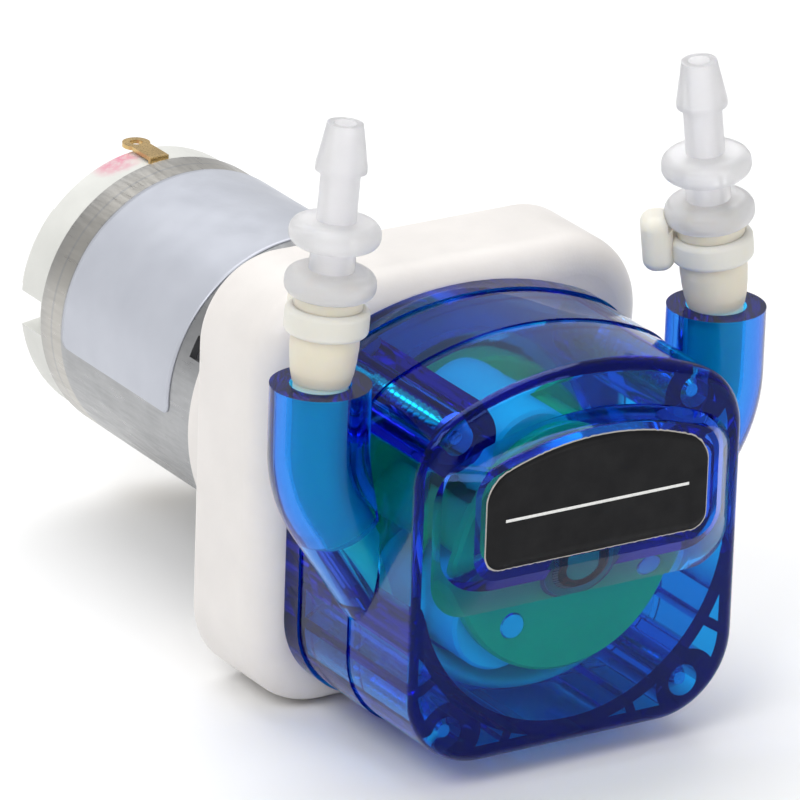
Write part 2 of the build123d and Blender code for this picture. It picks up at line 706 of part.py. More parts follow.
with BuildPart() as head_shell:
    extrude(head_outline(RIM_FRONT, RIM_STEP), amount=RIM_FRONT - PARTING)
    extrude(head_outline(PARTING, RIM_STEP + COVER_STEP), amount=PARTING - HEAD_FRONT)
    fillet(head_shell.faces().sort_by(Axis.Y)[0].edges(), HEAD_FRONT_EDGE)
    inside = head_outline(RIM_FRONT, RIM_STEP + HEAD_WALL)
    extrude(inside, amount=RIM_FRONT - HEAD_INNER_FRONT, mode=Mode.SUBTRACT)

with BuildPart() as head_fittings:
    bar(UPPER_BOSS_RADIUS, RIM_FRONT, HEAD_INNER_FRONT, both_sides(UPPER_SCREW))
    bar(LOWER_BOSS_RADIUS, RIM_FRONT, HEAD_INNER_FRONT, both_sides(LOWER_SCREW))
    with BuildSketch(slice_at(RIM_FRONT)) as track:
        Circle(TRACK_RADIUS + TRACK_WALL)
        with Locations((0, TRACK_TOP)):
            Rectangle(60, 60, align=(Align.CENTER, Align.MIN), mode=Mode.SUBTRACT)
        for angle in RIB_ANGLES:
            for spoke in (angle, 180 - angle):
                with Locations(polar(TRACK_RADIUS + RIB_LENGTH / 2 + RIB_SINK, spoke)):
                    Rectangle(RIB_LENGTH, RIB_THICKNESS, rotation=spoke)
    extrude(track.sketch, amount=RIM_FRONT - HEAD_INNER_FRONT)
    inner_limit = head_outline(RIM_FRONT, RIM_STEP + HEAD_WALL / 2)
    extrude(inner_limit, amount=RIM_FRONT - HEAD_INNER_FRONT, mode=Mode.INTERSECT)

with BuildPart() as pad_solid:
    for depth, half_width, bottom, arch, corners in PAD_LEVELS:
        add(arched_outline(HEAD_FRONT + depth, half_width, bottom, arch, corners))
    loft()

with BuildPart() as pad_hollow:
    for depth, half_width, bottom, arch, corners in PAD_HOLLOW_LEVELS:
        add(arched_outline(HEAD_FRONT + depth, half_width, bottom, arch, corners))
    loft()

with BuildPart() as whole_head:
    add(head_shell.part)
    add(head_fittings.part)
    extrude(head_outline(HEAD_REAR), amount=HEAD_REAR - RIM_FRONT)
    add(port_walls.part)
    bar(ROTOR_OPENING, HEAD_REAR, HEAD_INNER_FRONT, mode=Mode.SUBTRACT)
    with BuildSketch(slice_at(RIM_FRONT)) as lower_chamber:
        Circle(TRACK_RADIUS)
        with Locations((0, TRACK_TOP)):
            Rectangle(60, 60, align=(Align.CENTER, Align.MIN), mode=Mode.SUBTRACT)
    extrude(lower_chamber.sketch, amount=RIM_FRONT - HEAD_INNER_FRONT, mode=Mode.SUBTRACT)
    for side in SIDES.values():
        add(port_pipe(PORT_BORE, side, PORT_TOP + 1, MOUTH_START), mode=Mode.SUBTRACT)
        with BuildSketch(port_section(MOUTH_START, side)) as mouth:
            RectangleRounded(*MOUTH_SIZE, MOUTH_CORNER)
        extrude(mouth.sketch, amount=MOUTH_START - MOUTH_END, mode=Mode.SUBTRACT)
    add(pad_solid.part)
    add(pad_hollow.part, mode=Mode.SUBTRACT)
    bar(JOURNAL_BOSS_RADIUS, JOURNAL_BOSS_REAR, HEAD_FRONT)
    bar(COVER_BUSH_RADIUS, JOURNAL_BOSS_REAR, COVER_BUSH_FRONT, mode=Mode.SUBTRACT)

with BuildPart() as head_base:
    add(whole_head.part)
    split(bisect_by=slice_at(PARTING + JOINT_GAP), keep=Keep.BOTTOM)
    bar(SCREW_CLEARANCE, HEAD_REAR, PARTING, SCREW_CENTRES, Mode.SUBTRACT)
head_base.part.label = "head_base"

with BuildPart() as head_cover:
    add(whole_head.part)
    split(bisect_by=slice_at(PARTING), keep=Keep.TOP)
    bar(SCREW_PILOT, PARTING, SCREW_TIP - SCREW_TIP_ROOM, SCREW_CENTRES, Mode.SUBTRACT)
head_cover.part.label = "head_cover"

with BuildPart() as cover_bush:
    bar(COVER_BUSH_RADIUS, JOURNAL_BOSS_REAR, COVER_BUSH_FRONT)
    bar(JOURNAL_RADIUS + RUNNING_GAP, JOURNAL_BOSS_REAR, COVER_BUSH_FRONT, mode=Mode.SUBTRACT)
cover_bush.part.label = "cover_bush"

with BuildPart() as cover_label:
    extrude(arched_outline(PAD_FRONT, *LABEL_OUTLINE), amount=LABEL_THICKNESS)
cover_label.part.label = "cover_label"

with BuildPart() as head_screws:
    for x, z in SCREW_CENTRES:
        thread = []
        for turn in range(SCREW_THREADS):
            start = SCREW_TIP + SCREW_POINT + turn * SCREW_PITCH
            thread += [(SCREW_ROOT, start), (SCREW_CREST, start + THREAD_FLANK * SCREW_PITCH)]
            thread += [(SCREW_CREST, start + THREAD_CREST * SCREW_PITCH)]
        turned(
            [
                (0, SCREW_TIP),
                (SCREW_TIP_RADIUS, SCREW_TIP),
                *thread,
                (SCREW_ROOT, SCREW_TIP + SCREW_POINT + SCREW_THREADS * SCREW_PITCH),
                (SCREW_ROOT, SCREW_HEAD_FRONT),
                (SCREW_HEAD_RADIUS, SCREW_HEAD_FRONT),
                (SCREW_HEAD_RADIUS, SCREW_HEAD_REAR - SCREW_HEAD_EDGE),
                (SCREW_HEAD_RADIUS - SCREW_HEAD_EDGE, SCREW_HEAD_REAR),
                (0, SCREW_HEAD_REAR),
            ],
            Plane(origin=(x, 0, z), x_dir=(1, 0, 0), z_dir=(0, 0, 1)),
        )
    for angle in (0, 90):
        with BuildSketch(slice_at(SCREW_HEAD_REAR)) as recess:
            with Locations(*SCREW_CENTRES):
                Rectangle(DRIVE_SPAN * SCREW_HEAD_RADIUS, DRIVE_SLOT, rotation=angle)
        extrude(recess.sketch, amount=DRIVE_DEPTH, mode=Mode.SUBTRACT)
head_screws.part.label = "head_screws"

# ---------------------------------------------------------------- hose side


def lean_axis(name):
    """Direction of a hose connector, leaning in towards the drive axis."""
    lean = radians(LEAN[name])
    return Vector(-SIDES[name] * sin(lean), 0, cos(lean))


def connector_plane(name):
    """Plane through a connector's axis: sketch x is the radius and sketch y the height."""
    up = lean_axis(name)
    radial = Vector(0, 1, 0).cross(up)
    return Plane((SIDES[name] * PORT_X, PARTING, PORT_TOP), x_dir=radial, z_dir=(0, -1, 0))


def connector_slice(name, height):
    """Plane across a connector at a height: sketch x is +X or nearly so, sketch y is +Y."""
    up = lean_axis(name)
    foot = Vector(SIDES[name] * PORT_X, PARTING, PORT_TOP)
    return Plane(foot + up * height, x_dir=Vector(0, 1, 0).cross(up), z_dir=up)


# Outer shape of the barb inside the tube, shared by the connector and the tube's mouth
INNER_BARB = [
    (0, INNER_BARB_TIP[1]),
    INNER_BARB_TIP,
    INNER_BARB_BASE,
    (INNER_STEM, INNER_BARB_BASE[1]),
    (INNER_STEM, LOWER_DISC[0]),
]

CONNECTORS = {}
TIES = {}
for name in SIDES:
    with BuildPart() as connector:
        turned(
            [
                *INNER_BARB,
                (DISC_RADIUS, LOWER_DISC[0]),
                (DISC_RADIUS, LOWER_DISC[1]),
                (MIDDLE_STEM, LOWER_DISC[1]),
                (MIDDLE_STEM, UPPER_DISC[0]),
                (DISC_RADIUS, UPPER_DISC[0]),
                (DISC_RADIUS, UPPER_DISC[1]),
                (UPPER_STEM, UPPER_DISC[1]),
                (UPPER_STEM, BARB_BASE[1]),
                BARB_BASE,
                (BARB_BASE[0], BARB_SHOULDER),
                BARB_TIP,
                (0, BARB_TIP[1]),
            ],
            connector_plane(name),
        )
        rims = connector.edges().filter_by(GeomType.CIRCLE)
        fillet(rims.filter_by(lambda e: abs(e.radius - DISC_RADIUS) < TOLERANCE), DISC_EDGE)
        with BuildSketch(connector_slice(name, 0)) as lumen:
            Circle(BARB_BORE)
        extrude(lumen.sketch, amount=BARB_TIP[1] + BARB_OVERRUN, mode=Mode.SUBTRACT)
    connector.part.label = f"connector_{name}"
    CONNECTORS[f"connector_{name}"] = connector.part

    with BuildPart() as tie:
        with BuildSketch(connector_slice(name, TIE_BAND[0])) as band:
            Circle(TIE_RADIUS)
        extrude(band.sketch, amount=TIE_BAND[1] - TIE_BAND[0])
        fillet(tie.edges(), TIE_EDGE)
        with BuildSketch(connector_slice(name, TIE_HEAD_MIDDLE - TIE_HEAD[2] / 2)) as head:
            reach = TIE_RADIUS + TIE_HEAD[0] / 2 - TIE_HEAD_SEAT
            with Locations(polar(reach, TIE_HEAD_ANGLE[name])):
                RectangleRounded(*TIE_HEAD[:2], TIE_HEAD_CORNER, rotation=TIE_HEAD_ANGLE[name])
        with BuildPart(mode=Mode.PRIVATE) as head_block:
            extrude(head.sketch, amount=TIE_HEAD[2])
            fillet(head_block.faces().sort_by(Axis.Z)[-1].edges(), TIE_HEAD_EDGE)
            fillet(head_block.faces().sort_by(Axis.Z)[0].edges(), TIE_HEAD_EDGE)
        add(head_block.part)
        with BuildSketch(connector_slice(name, 0)) as core:
            Circle(TUBE_SWOLLEN)
        extrude(core.sketch, amount=BARB_TIP[1], mode=Mode.SUBTRACT)
        with BuildSketch(connector_slice(name, TUBE_END)) as disc_room:
            Circle(DISC_RADIUS + DISC_ROOM)
        extrude(disc_room.sketch, amount=TIE_HEAD[2], mode=Mode.SUBTRACT)
    tie.part.label = f"tube_tie_{name}"
    TIES[f"tube_tie_{name}"] = tie.part


def ease_section(centre, slant, side):
    """Plane across the tube where it flattens: sketch x points outward and sketch y along the drive."""
    down = Vector(-side * sin(radians(slant)), 0, -cos(radians(slant)))
    outward = Vector(side * cos(radians(slant)), 0, -sin(radians(slant)))
    return Plane((side * centre[0], PARTING, centre[1]), x_dir=outward, z_dir=down)


def tube_run(radius, name, end):
    """Round part of the tube or its lumen, from its swollen end to a distance from the track."""
    side = SIDES[name]
    top = Vector(side * PORT_X, PARTING, PORT_TOP) + lean_axis(name) * TUBE_RUN_TOP
    with BuildPart() as run:
        with BuildLine() as path:
            FilletPolyline(
                tuple(top),
                (side * PORT_X, PARTING, PORT_TOP),
                (side * PORT_X, PARTING, PORT_CORNER_Z),
                tuple(along_port(end, side)),
                radius=[TUBE_LEAN_BEND, PORT_BEND],
            )
        with BuildSketch(Plane(origin=path.line @ 0, z_dir=path.line % 0)):
            Circle(radius)
        sweep(path=path.line)
    return run.part


SQUEEZED_END = polar(SQUEEZED_LINE, SQUEEZED_START)

with BuildPart() as pump_tube:
    for name, side in SIDES.items():
        add(tube_run(TUBE_RADIUS, name, EASE_START))
        turned(
            [
                (0, 0),
                *TUBE_SHOULDER,
                (TUBE_SWOLLEN, TUBE_END),
                (0, TUBE_END),
            ],
            connector_plane(name),
        )
        start = along_port(EASE_START, 1)
        with BuildSketch(ease_section((start.X, start.Z), PORT_SLANT, side)):
            Circle(TUBE_RADIUS)
        with BuildSketch(ease_section(EASE_MIDDLE, EASE_MIDDLE_SLANT, side)):
            Ellipse(*EASE_MIDDLE_HALF)
        with BuildSketch(ease_section(SQUEEZED_END, -SQUEEZED_START, side)):
            Ellipse(SQUEEZED_HALF_THICKNESS, SQUEEZED_HALF_WIDTH)
        loft()
    with BuildSketch(ease_section(SQUEEZED_END, -SQUEEZED_START, 1)) as flat:
        Ellipse(SQUEEZED_HALF_THICKNESS, SQUEEZED_HALF_WIDTH)
    revolve(flat.sketch, axis=DRIVE_AXIS, revolution_arc=180 + 2 * SQUEEZED_START)
    for name in SIDES:
        add(tube_run(TUBE_LUMEN, name, LUMEN_END), mode=Mode.SUBTRACT)
        turned([*INNER_BARB, (0, LOWER_DISC[0])], connector_plane(name), Mode.SUBTRACT)
pump_tube.part.label = "pump_tube"

# ---------------------------------------------------------------- files

PIECES = [
    mount_flange,
    motor_can,
    front_bearing,
    motor_end_bell,
    rear_bush,
    motor_terminals,
    brush_arms,
    carbon_brushes,
    magnets,
    magnet_clips,
    motor_sticker,
    motor_screws,
    motor_shaft,
    armature_core,
    armature_windings,
    commutator,
    shaft_spacer,
    drive_sleeve,
    rotor_rear_disc,
    rotor_rear_bush,
    rotor_front_disc,
    head_base,
    head_cover,
    cover_bush,
    cover_label,
    head_screws,
    pump_tube,
]
for piece in PIECES:
    export_step(piece.part, f"parts/{piece.part.label}.step")
for label, part in {**ROTOR_PIECES, **CONNECTORS, **TIES}.items():
    export_step(part, f"parts/{label}.step")
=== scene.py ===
from math import cos, pi, radians, sin, sqrt

import bmesh
import bpy
from mathutils import Matrix, Vector, noise


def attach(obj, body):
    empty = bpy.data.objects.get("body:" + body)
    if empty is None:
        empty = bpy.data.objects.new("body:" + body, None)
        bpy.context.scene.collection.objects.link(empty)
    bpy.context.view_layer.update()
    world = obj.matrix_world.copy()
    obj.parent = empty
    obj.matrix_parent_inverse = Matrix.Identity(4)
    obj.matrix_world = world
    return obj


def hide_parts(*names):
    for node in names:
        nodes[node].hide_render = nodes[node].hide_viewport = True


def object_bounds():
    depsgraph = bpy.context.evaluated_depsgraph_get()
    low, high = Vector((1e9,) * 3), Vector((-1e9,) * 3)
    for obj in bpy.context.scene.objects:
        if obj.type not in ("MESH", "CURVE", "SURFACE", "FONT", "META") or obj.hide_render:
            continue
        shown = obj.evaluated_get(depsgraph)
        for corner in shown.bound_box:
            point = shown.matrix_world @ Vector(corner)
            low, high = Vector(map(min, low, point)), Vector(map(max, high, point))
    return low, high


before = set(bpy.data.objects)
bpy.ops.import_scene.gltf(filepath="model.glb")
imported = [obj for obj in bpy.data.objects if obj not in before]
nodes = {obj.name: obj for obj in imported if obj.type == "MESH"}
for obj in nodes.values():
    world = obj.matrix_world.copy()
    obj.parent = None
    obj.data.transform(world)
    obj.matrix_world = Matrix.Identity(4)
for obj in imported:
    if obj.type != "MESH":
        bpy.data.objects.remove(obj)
cad_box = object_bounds()
MM = 0.001
STATIC = "pump_body"

# Clear blue plastic: the colour each face lets through and reflects, and the tint of its depth, per metre
BLUE_AT_FACE = (0.06, 0.86, 0.93, 1)
BLUE_SHINE = (0.18, 0.30, 0.75, 1)
BLUE_IN_DEPTH = (0.62, 0.25, 0.89, 1)
BLUE_DENSITY = 300.0

# Places and sizes in millimetres, in the shared frame
CAN_BAND = (46.2, 51.3)
PAINT_DAB = (-4.9, 56.2, 17.0)
PAINT_RADIUS = 1.5
PAINT_FADE = 2.2
LABEL_HALF_WIDTH = 15.1
LABEL_BOTTOM = 1.95
LABEL_ARCH_CENTRE = -18.8
LABEL_ARCH_RADIUS = 35.05
LABEL_LOWER_CORNER = 2.0
LABEL_UPPER_CORNER = 2.5
LABEL_EDGE = (-45.46, -45.41)
LABEL_FILM = (-45.55, -45.465)
LABEL_LINE = (-45.575, -45.555)
LINE_HALF_WIDTH = 12.5
LINE_BOTTOM = 7.72
LINE_STEP = 0.18
RAGGED_PITCH = 2.1
STICKER_FRONT = 20.3
STICKER_REAR = 46.0
STICKER_FIRST = -15.0
STICKER_LAST = 185.0
STICKER_CORNER = 1.2
STICKER_OUTSIDE = 18.08
STICKER_INSIDE = 18.02
STICKER_RIPPLE = 0.09
FLOOR_GAP = 0.2
SOFT_DEPTH = 1.5

# In metres
FLOOR_SIZE = 6.0
# Each light: name, place, size, watts
LIGHTS = (
    ("key", (-0.9, -0.5, 1.1), (0.7, 0.7), 8),
    ("front", (0.5, -1.4, 0.5), (0.5, 0.6), 3),
    ("top", (0.1, 0.5, 1.2), (1.2, 1.0), 11),
)
WORLD_LIGHT = 0.55
BOUNCES = 32
CAMERA_PLACE = (-0.51121, -0.80193, 0.38310)
CAMERA_RIGHT = (0.84868, -0.52796, 0.03162)
CAMERA_UP = (0.17059, 0.32983, 0.92850)
CAMERA_BACK = (-0.50064, -0.78261, 0.36998)
LENS_MM = 388.3
SENSOR_MM = 36.0


# ---------------------------------------------------------------- material graphs


class Graph:
    """One material's nodes, with short ways to add and join them. Sizes are in millimetres."""

    def __init__(self, name):
        self.material = bpy.data.materials.new(name)
        self.material.use_nodes = True
        self.tree = self.material.node_tree
        self.tree.nodes.clear()
        self.output = self.add("OutputMaterial")
        self.shader = self.add("BsdfPrincipled")
        self.link(self.shader.outputs["BSDF"], self.output.inputs["Surface"])
        self.place = self.add("TexCoord").outputs["Object"]
        self.base = None

    def add(self, kind, **settings):
        node = self.tree.nodes.new("ShaderNode" + kind)
        for key, value in settings.items():
            setattr(node, key, value)
        return node

    def link(self, source, target):
        self.tree.links.new(source, target)
        return source

    def set(self, **values):
        """Constant values on the shader's own sockets: Base_Color=... sets 'Base Color'."""
        for key, value in values.items():
            self.shader.inputs[key.replace("_", " ")].default_value = value
        return self

    def feed(self, socket, source):
        """Joins a source to one of the shader's sockets."""
        self.link(source, self.shader.inputs[socket])
        return self

    def paint(self, source):
        """Makes a source the base colour, and keeps it for a mix over it."""
        self.base = source
        return self.feed("Base Color", source)

    def times(self, first, second):
        """The product of two values."""
        node = self.add("Math", operation="MULTIPLY")
        self.link(first, node.inputs[0])
        self.link(second, node.inputs[1])
        return node.outputs[0]

    def stretched(self, stretch):
        """The object's coordinates, scaled along each axis."""
        node = self.add("Mapping")
        node.inputs["Scale"].default_value = stretch
        self.link(self.place, node.inputs["Vector"])
        return node.outputs[0]

    def noise(self, size, detail=3.0, rough=0.55, stretch=None):
        """Noise from 0 to 1 whose features are about size across."""
        node = self.add("TexNoise")
        self.link(self.stretched(stretch) if stretch else self.place, node.inputs["Vector"])
        node.inputs["Scale"].default_value = 1 / (size * MM)
        node.inputs["Detail"].default_value = detail
        node.inputs["Roughness"].default_value = rough
        return node.outputs["Fac"]

    def ramp(self, source, *stops):
        """Colour from a value, by (position, colour) stops."""
        node = self.add("ValToRGB")
        self.link(source, node.inputs["Fac"])
        elements = node.color_ramp.elements
        elements[0].position, elements[0].color = stops[0][0], (*stops[0][1], 1)
        elements[1].position, elements[1].color = stops[-1][0], (*stops[-1][1], 1)
        for position, colour in stops[1:-1]:
            elements.new(position).color = (*colour, 1)
        return node.outputs["Color"]

    def span(self, source, low, high, start=0.0, end=1.0):
        """Value from low to high as the source goes from start to end."""
        node = self.add("MapRange")
        self.link(source, node.inputs["Value"])
        for name, value in (("From Min", start), ("From Max", end), ("To Min", low), ("To Max", high)):
            node.inputs[name].default_value = value
        return node.outputs["Result"]

    def mix(self, share, first, second):
        """Colour from the source first to the colour second as share goes from 0 to 1."""
        node = self.add("Mix", data_type="RGBA")
        factor = next(i for i in node.inputs if i.name == "Factor" and i.type == "VALUE")
        start, end = (next(i for i in node.inputs if i.name == n and i.type == "RGBA") for n in "AB")
        self.link(share, factor)
        self.link(first, start)
        end.default_value = (*second, 1)
        return next(o for o in node.outputs if o.type == "RGBA")

    def near(self, point, radius, blur):
        """1 within radius of a point, fading to 0 over blur."""
        node = self.add("VectorMath", operation="DISTANCE")
        self.link(self.place, node.inputs[0])
        node.inputs[1].default_value = [c * MM for c in point]
        return self.span(node.outputs["Value"], 1.0, 0.0, radius * MM, (radius + blur) * MM)

    def along(self, axis):
        """The coordinate along axis 0, 1 or 2, in metres."""
        node = self.add("SeparateXYZ")
        self.link(self.place, node.inputs[0])
        return node.outputs[axis]

    def relief(self, *layers):
        """Bumps, each (source, depth), one over the other."""
        last = None
        for source, depth in layers:
            node = self.add("Bump")
            node.inputs["Distance"].default_value = depth * MM
            self.link(source, node.inputs["Height"])
            if last:
                self.link(last, node.inputs["Normal"])
            last = node.outputs["Normal"]
        self.link(last, self.shader.inputs["Normal"])
        return self


# ---------------------------------------------------------------- materials


def moulded(name, colour, roughness, grain=0.35, depth=0.012, variation=0.04, soft=0.0, mottle=9.0):
    """Opaque moulded plastic: fine spark grain, faint mottling and soft flow marks."""
    g = Graph(name)
    darker = tuple(c * (1 - variation) for c in colour)
    lighter = tuple(min(1.0, c * (1 + variation)) for c in colour)
    g.paint(g.ramp(g.noise(mottle, 4.0), (0.3, darker), (0.7, lighter)))
    g.feed("Roughness", g.span(g.noise(2.2, 5.0, 0.65), roughness - 0.07, roughness + 0.09, 0.3, 0.7))
    g.relief((g.noise(grain, 2.0), depth), (g.noise(14.0, 1.0), 0.05))
    g.set(IOR=1.5)
    if soft:
        g.set(Subsurface_Weight=soft, Subsurface_Radius=(SOFT_DEPTH,) * 3, Subsurface_Scale=MM)
    return g


def metal(name, colour, roughness, stretch=(1, 1, 1), grain=0.25, depth=0.002, tarnish=0.12):
    """Bare or plated metal: drawn grain, patchy lustre."""
    g = Graph(name)
    dull = tuple(c * (1 - tarnish) for c in colour)
    g.paint(g.ramp(g.noise(4.0, 6.0, 0.6), (0.35, dull), (0.65, colour)))
    lines = g.noise(grain, 3.0, 0.6, stretch)
    g.feed("Roughness", g.span(lines, roughness * 0.7, roughness * 1.35, 0.3, 0.7))
    g.relief((lines, depth))
    g.set(Metallic=1.0)
    return g


def clear_blue():
    """Clear tinted plastic: the colour is in its thickness, over faint flow lines and fine scratches."""
    g = Graph("clear_blue")
    g.feed("Roughness", g.span(g.noise(6.0, 5.0, 0.6), 0.015, 0.075, 0.35, 0.75))
    scratches = g.ramp(g.noise(0.5, 2.0, 0.5, (1, 9, 1)), (0.70, (0, 0, 0)), (0.78, (1, 1, 1)))
    g.relief((g.noise(11.0, 2.0), 0.05), (scratches, 0.0015))
    g.set(Base_Color=BLUE_AT_FACE, Specular_Tint=BLUE_SHINE, Transmission_Weight=1.0, IOR=1.53)
    absorb = g.add("VolumeAbsorption")
    absorb.inputs["Color"].default_value = BLUE_IN_DEPTH
    absorb.inputs["Density"].default_value = BLUE_DENSITY
    g.link(absorb.outputs["Volume"], g.output.inputs["Volume"])
    return g


def milky(name, colour, roughness, clear, soft, radius, mottle=5.0):
    """Translucent plastic or rubber: light spreads under the surface and some passes through."""
    g = Graph(name)
    tone = g.ramp(g.noise(mottle, 3.0), (0.3, tuple(c * 0.965 for c in colour)), (0.7, colour))
    g.paint(tone)
    g.feed("Roughness", g.span(g.noise(1.4, 4.0, 0.6), roughness - 0.06, roughness + 0.10, 0.3, 0.7))
    g.relief((g.noise(0.6, 3.0), 0.006), (g.noise(5.0, 1.0), 0.05))
    g.set(Transmission_Weight=clear, IOR=1.46)
    g.set(Subsurface_Weight=soft, Subsurface_Radius=radius, Subsurface_Scale=MM)
    return g


def can_steel():
    """Drawn steel can: fine grain along the axis and a paler double band at the rear edge."""
    g = metal("can_steel", (0.40, 0.405, 0.415), 0.36, (1, 0.10, 1), 0.5, 0.002, 0.125)
    band = g.ramp(
        g.span(g.along(1), 0.0, 1.0, CAN_BAND[0] * MM, CAN_BAND[1] * MM),
        (0.0, (0, 0, 0)),
        (0.06, (1, 1, 1)),
        (0.42, (1, 1, 1)),
        (0.48, (0.2, 0.2, 0.2)),
        (0.54, (1, 1, 1)),
        (1.0, (0.6, 0.6, 0.6)),
    )
    g.feed("Base Color", g.mix(band, g.base, (0.49, 0.475, 0.445)))
    return g


def bell_plastic():
    """Off-white end bell with a dab of red polarity paint beside the upper terminal."""
    g = moulded("bell_plastic", (0.66, 0.6625, 0.63), 0.42, variation=0.045, soft=0.15, mottle=7.0)
    worn = g.span(g.noise(1.2, 3.0), 0.3, 0.9, 0.35, 0.6)
    spot = g.times(g.near(PAINT_DAB, PAINT_RADIUS, PAINT_FADE), worn)
    g.feed("Base Color", g.mix(spot, g.base, (0.66, 0.20, 0.30)))
    return g


def sticker_foil():
    """Blank silvery sticker, slightly rippled over the can."""
    g = Graph("sticker_foil")
    g.feed("Base Color", g.ramp(g.noise(10.0, 3.0), (0.3, (0.47, 0.49, 0.55)), (0.7, (0.52, 0.54, 0.60))))
    g.feed("Roughness", g.span(g.noise(3.0, 4.0), 0.30, 0.44, 0.3, 0.7))
    g.relief((g.noise(0.3, 2.0), 0.003), (g.noise(7.0, 2.0, stretch=(1, 0.5, 1)), 0.10))
    g.set(Metallic=0.25)
    return g


def label_vinyl():
    """Satin black vinyl."""
    g = Graph("label_vinyl")
    g.paint(g.ramp(g.noise(3.0, 5.0), (0.3, (0.006, 0.006, 0.007)), (0.7, (0.012, 0.012, 0.013))))
    g.feed("Roughness", g.span(g.noise(1.0, 5.0, 0.7), 0.30, 0.46, 0.3, 0.7))
    g.relief((g.noise(0.25, 2.0), 0.004))
    g.set(Specular_IOR_Level=0.12)
    return g


def label_print_and_highlight(name, colour):
    """Pale sheet: the label's printed line, and the painted highlight along its cut edge."""
    g = Graph(name)
    g.feed("Base Color", g.ramp(g.noise(0.5, 4.0), (0.3, tuple(c * 0.85 for c in colour)), (0.7, colour)))
    g.feed("Roughness", g.span(g.noise(0.8, 3.0), 0.40, 0.60, 0.3, 0.7))
    g.relief((g.noise(0.3, 2.0), 0.006))
    return g


MATERIALS = {
    "flange_plastic": moulded("flange_plastic", (0.74, 0.71, 0.685), 0.40, soft=0.25),
    "can_steel": can_steel(),
    "bell_plastic": bell_plastic(),
    "bronze": metal("bronze", (0.60, 0.40, 0.20), 0.42, depth=0.004),
    "brass": metal("brass", (0.78, 0.55, 0.24), 0.30, tarnish=0.3),
    "spring_steel": metal("spring_steel", (0.55, 0.55, 0.56), 0.28, (6, 1, 1)),
    "carbon": moulded("carbon", (0.03, 0.03, 0.032), 0.55, 0.2, 0.02, 0.2),
    "ferrite": moulded("ferrite", (0.055, 0.055, 0.06), 0.62, 0.25, 0.03, 0.15),
    "sticker": sticker_foil(),
    "zinc": metal("zinc", (0.80, 0.82, 0.84), 0.22, depth=0.003),
    "shaft_steel": metal("shaft_steel", (0.66, 0.66, 0.67), 0.20, (1, 8, 1)),
    "laminations": metal("laminations", (0.33, 0.33, 0.35), 0.45, (0.3, 9, 0.3), 0.9, 0.05),
    "copper": metal("copper", (0.72, 0.30, 0.14), 0.28, (9, 1, 9), 0.5, 0.03),
    "commutator": metal("commutator", (0.74, 0.40, 0.22), 0.26, (1, 8, 1)),
    "spacer": moulded("spacer", (0.70, 0.60, 0.42), 0.5),
    "sleeve": moulded("sleeve", (0.62, 0.62, 0.60), 0.45),
    "rotor_green": moulded("rotor_green", (0.03, 0.70, 0.16), 0.38, 0.3, 0.01, 0.06, 0.1),
    "roller_white": moulded("roller_white", (0.88, 0.88, 0.86), 0.33, 0.3, 0.006, 0.02, 0.3),
    "pin_steel": metal("pin_steel", (0.72, 0.72, 0.73), 0.18, (1, 6, 1)),
    "clear_blue": clear_blue(),
    "label_black": label_vinyl(),
    "tube": milky("tube", (0.86, 0.78, 0.64), 0.42, 0.12, 0.75, (2.4, 1.9, 1.3)),
    "connector": milky("connector", (0.985, 0.975, 0.995), 0.34, 0.55, 1.0, (4.0, 4.0, 4.0)),
    "nylon": milky("nylon", (0.86, 0.83, 0.74), 0.40, 0.15, 0.7, (2.0, 1.8, 1.4)),
}


def dress(obj, slot):
    """Puts the slot's material on every face."""
    obj.data.materials.clear()
    obj.data.materials.append(MATERIALS[slot].material)


def slot_of(node):
    """The record's material slot of a CAD node, as its mesh came in."""
    return nodes[node].material_slots[0].material.name.split(".")[0]


for node, obj in nodes.items():
    dress(obj, slot_of(node))


# ---------------------------------------------------------------- label and sticker


def sheet(name, front, back, material, slot):
    """Thin closed sheet between two equal grids of points in millimetres, front[column][row]."""
    columns, rows = len(front), len(front[0])
    points = [point for grid in (front, back) for column in grid for point in column]
    under = columns * rows
    faces = []
    for c in range(columns - 1):
        for r in range(rows - 1):
            a = c * rows + r
            faces.append((a, a + 1, a + rows + 1, a + rows))
            faces.append((under + a, under + a + rows, under + a + rows + 1, under + a + 1))
    rim = [c * rows for c in range(columns)]
    rim += [(columns - 1) * rows + r for r in range(1, rows)]
    rim += [c * rows + rows - 1 for c in range(columns - 2, -1, -1)]
    rim += [r for r in range(rows - 2, 0, -1)]
    for a, b in zip(rim, rim[1:] + rim[:1]):
        faces.append((a, b, under + b, under + a))
    mesh = bpy.data.meshes.new(name)
    mesh.from_pydata([[c * MM for c in point] for point in points], [], faces)
    build = bmesh.new()
    build.from_mesh(mesh)
    bmesh.ops.recalc_face_normals(build, faces=build.faces)
    build.to_mesh(mesh)
    build.free()
    for face in mesh.polygons:
        face.use_smooth = face.index < 2 * (columns - 1) * (rows - 1)
    mesh.materials.append(material)
    piece = bpy.data.objects.new(name, mesh)
    bpy.context.scene.collection.objects.link(piece)
    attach(piece, STATIC)
    return piece


def corner(distance, radius):
    """How far a rounded corner has drawn in at a distance from the side."""
    left = max(0.0, radius - distance)
    return radius - sqrt(max(0.0, radius * radius - left * left))


def spread(low, high, count):
    """Places from low to high, closer together near both ends."""
    middle, half = (low + high) / 2, (high - low) / 2
    return [middle + half * sin(pi / 2 * (2 * i / (count - 1) - 1)) for i in range(count)]


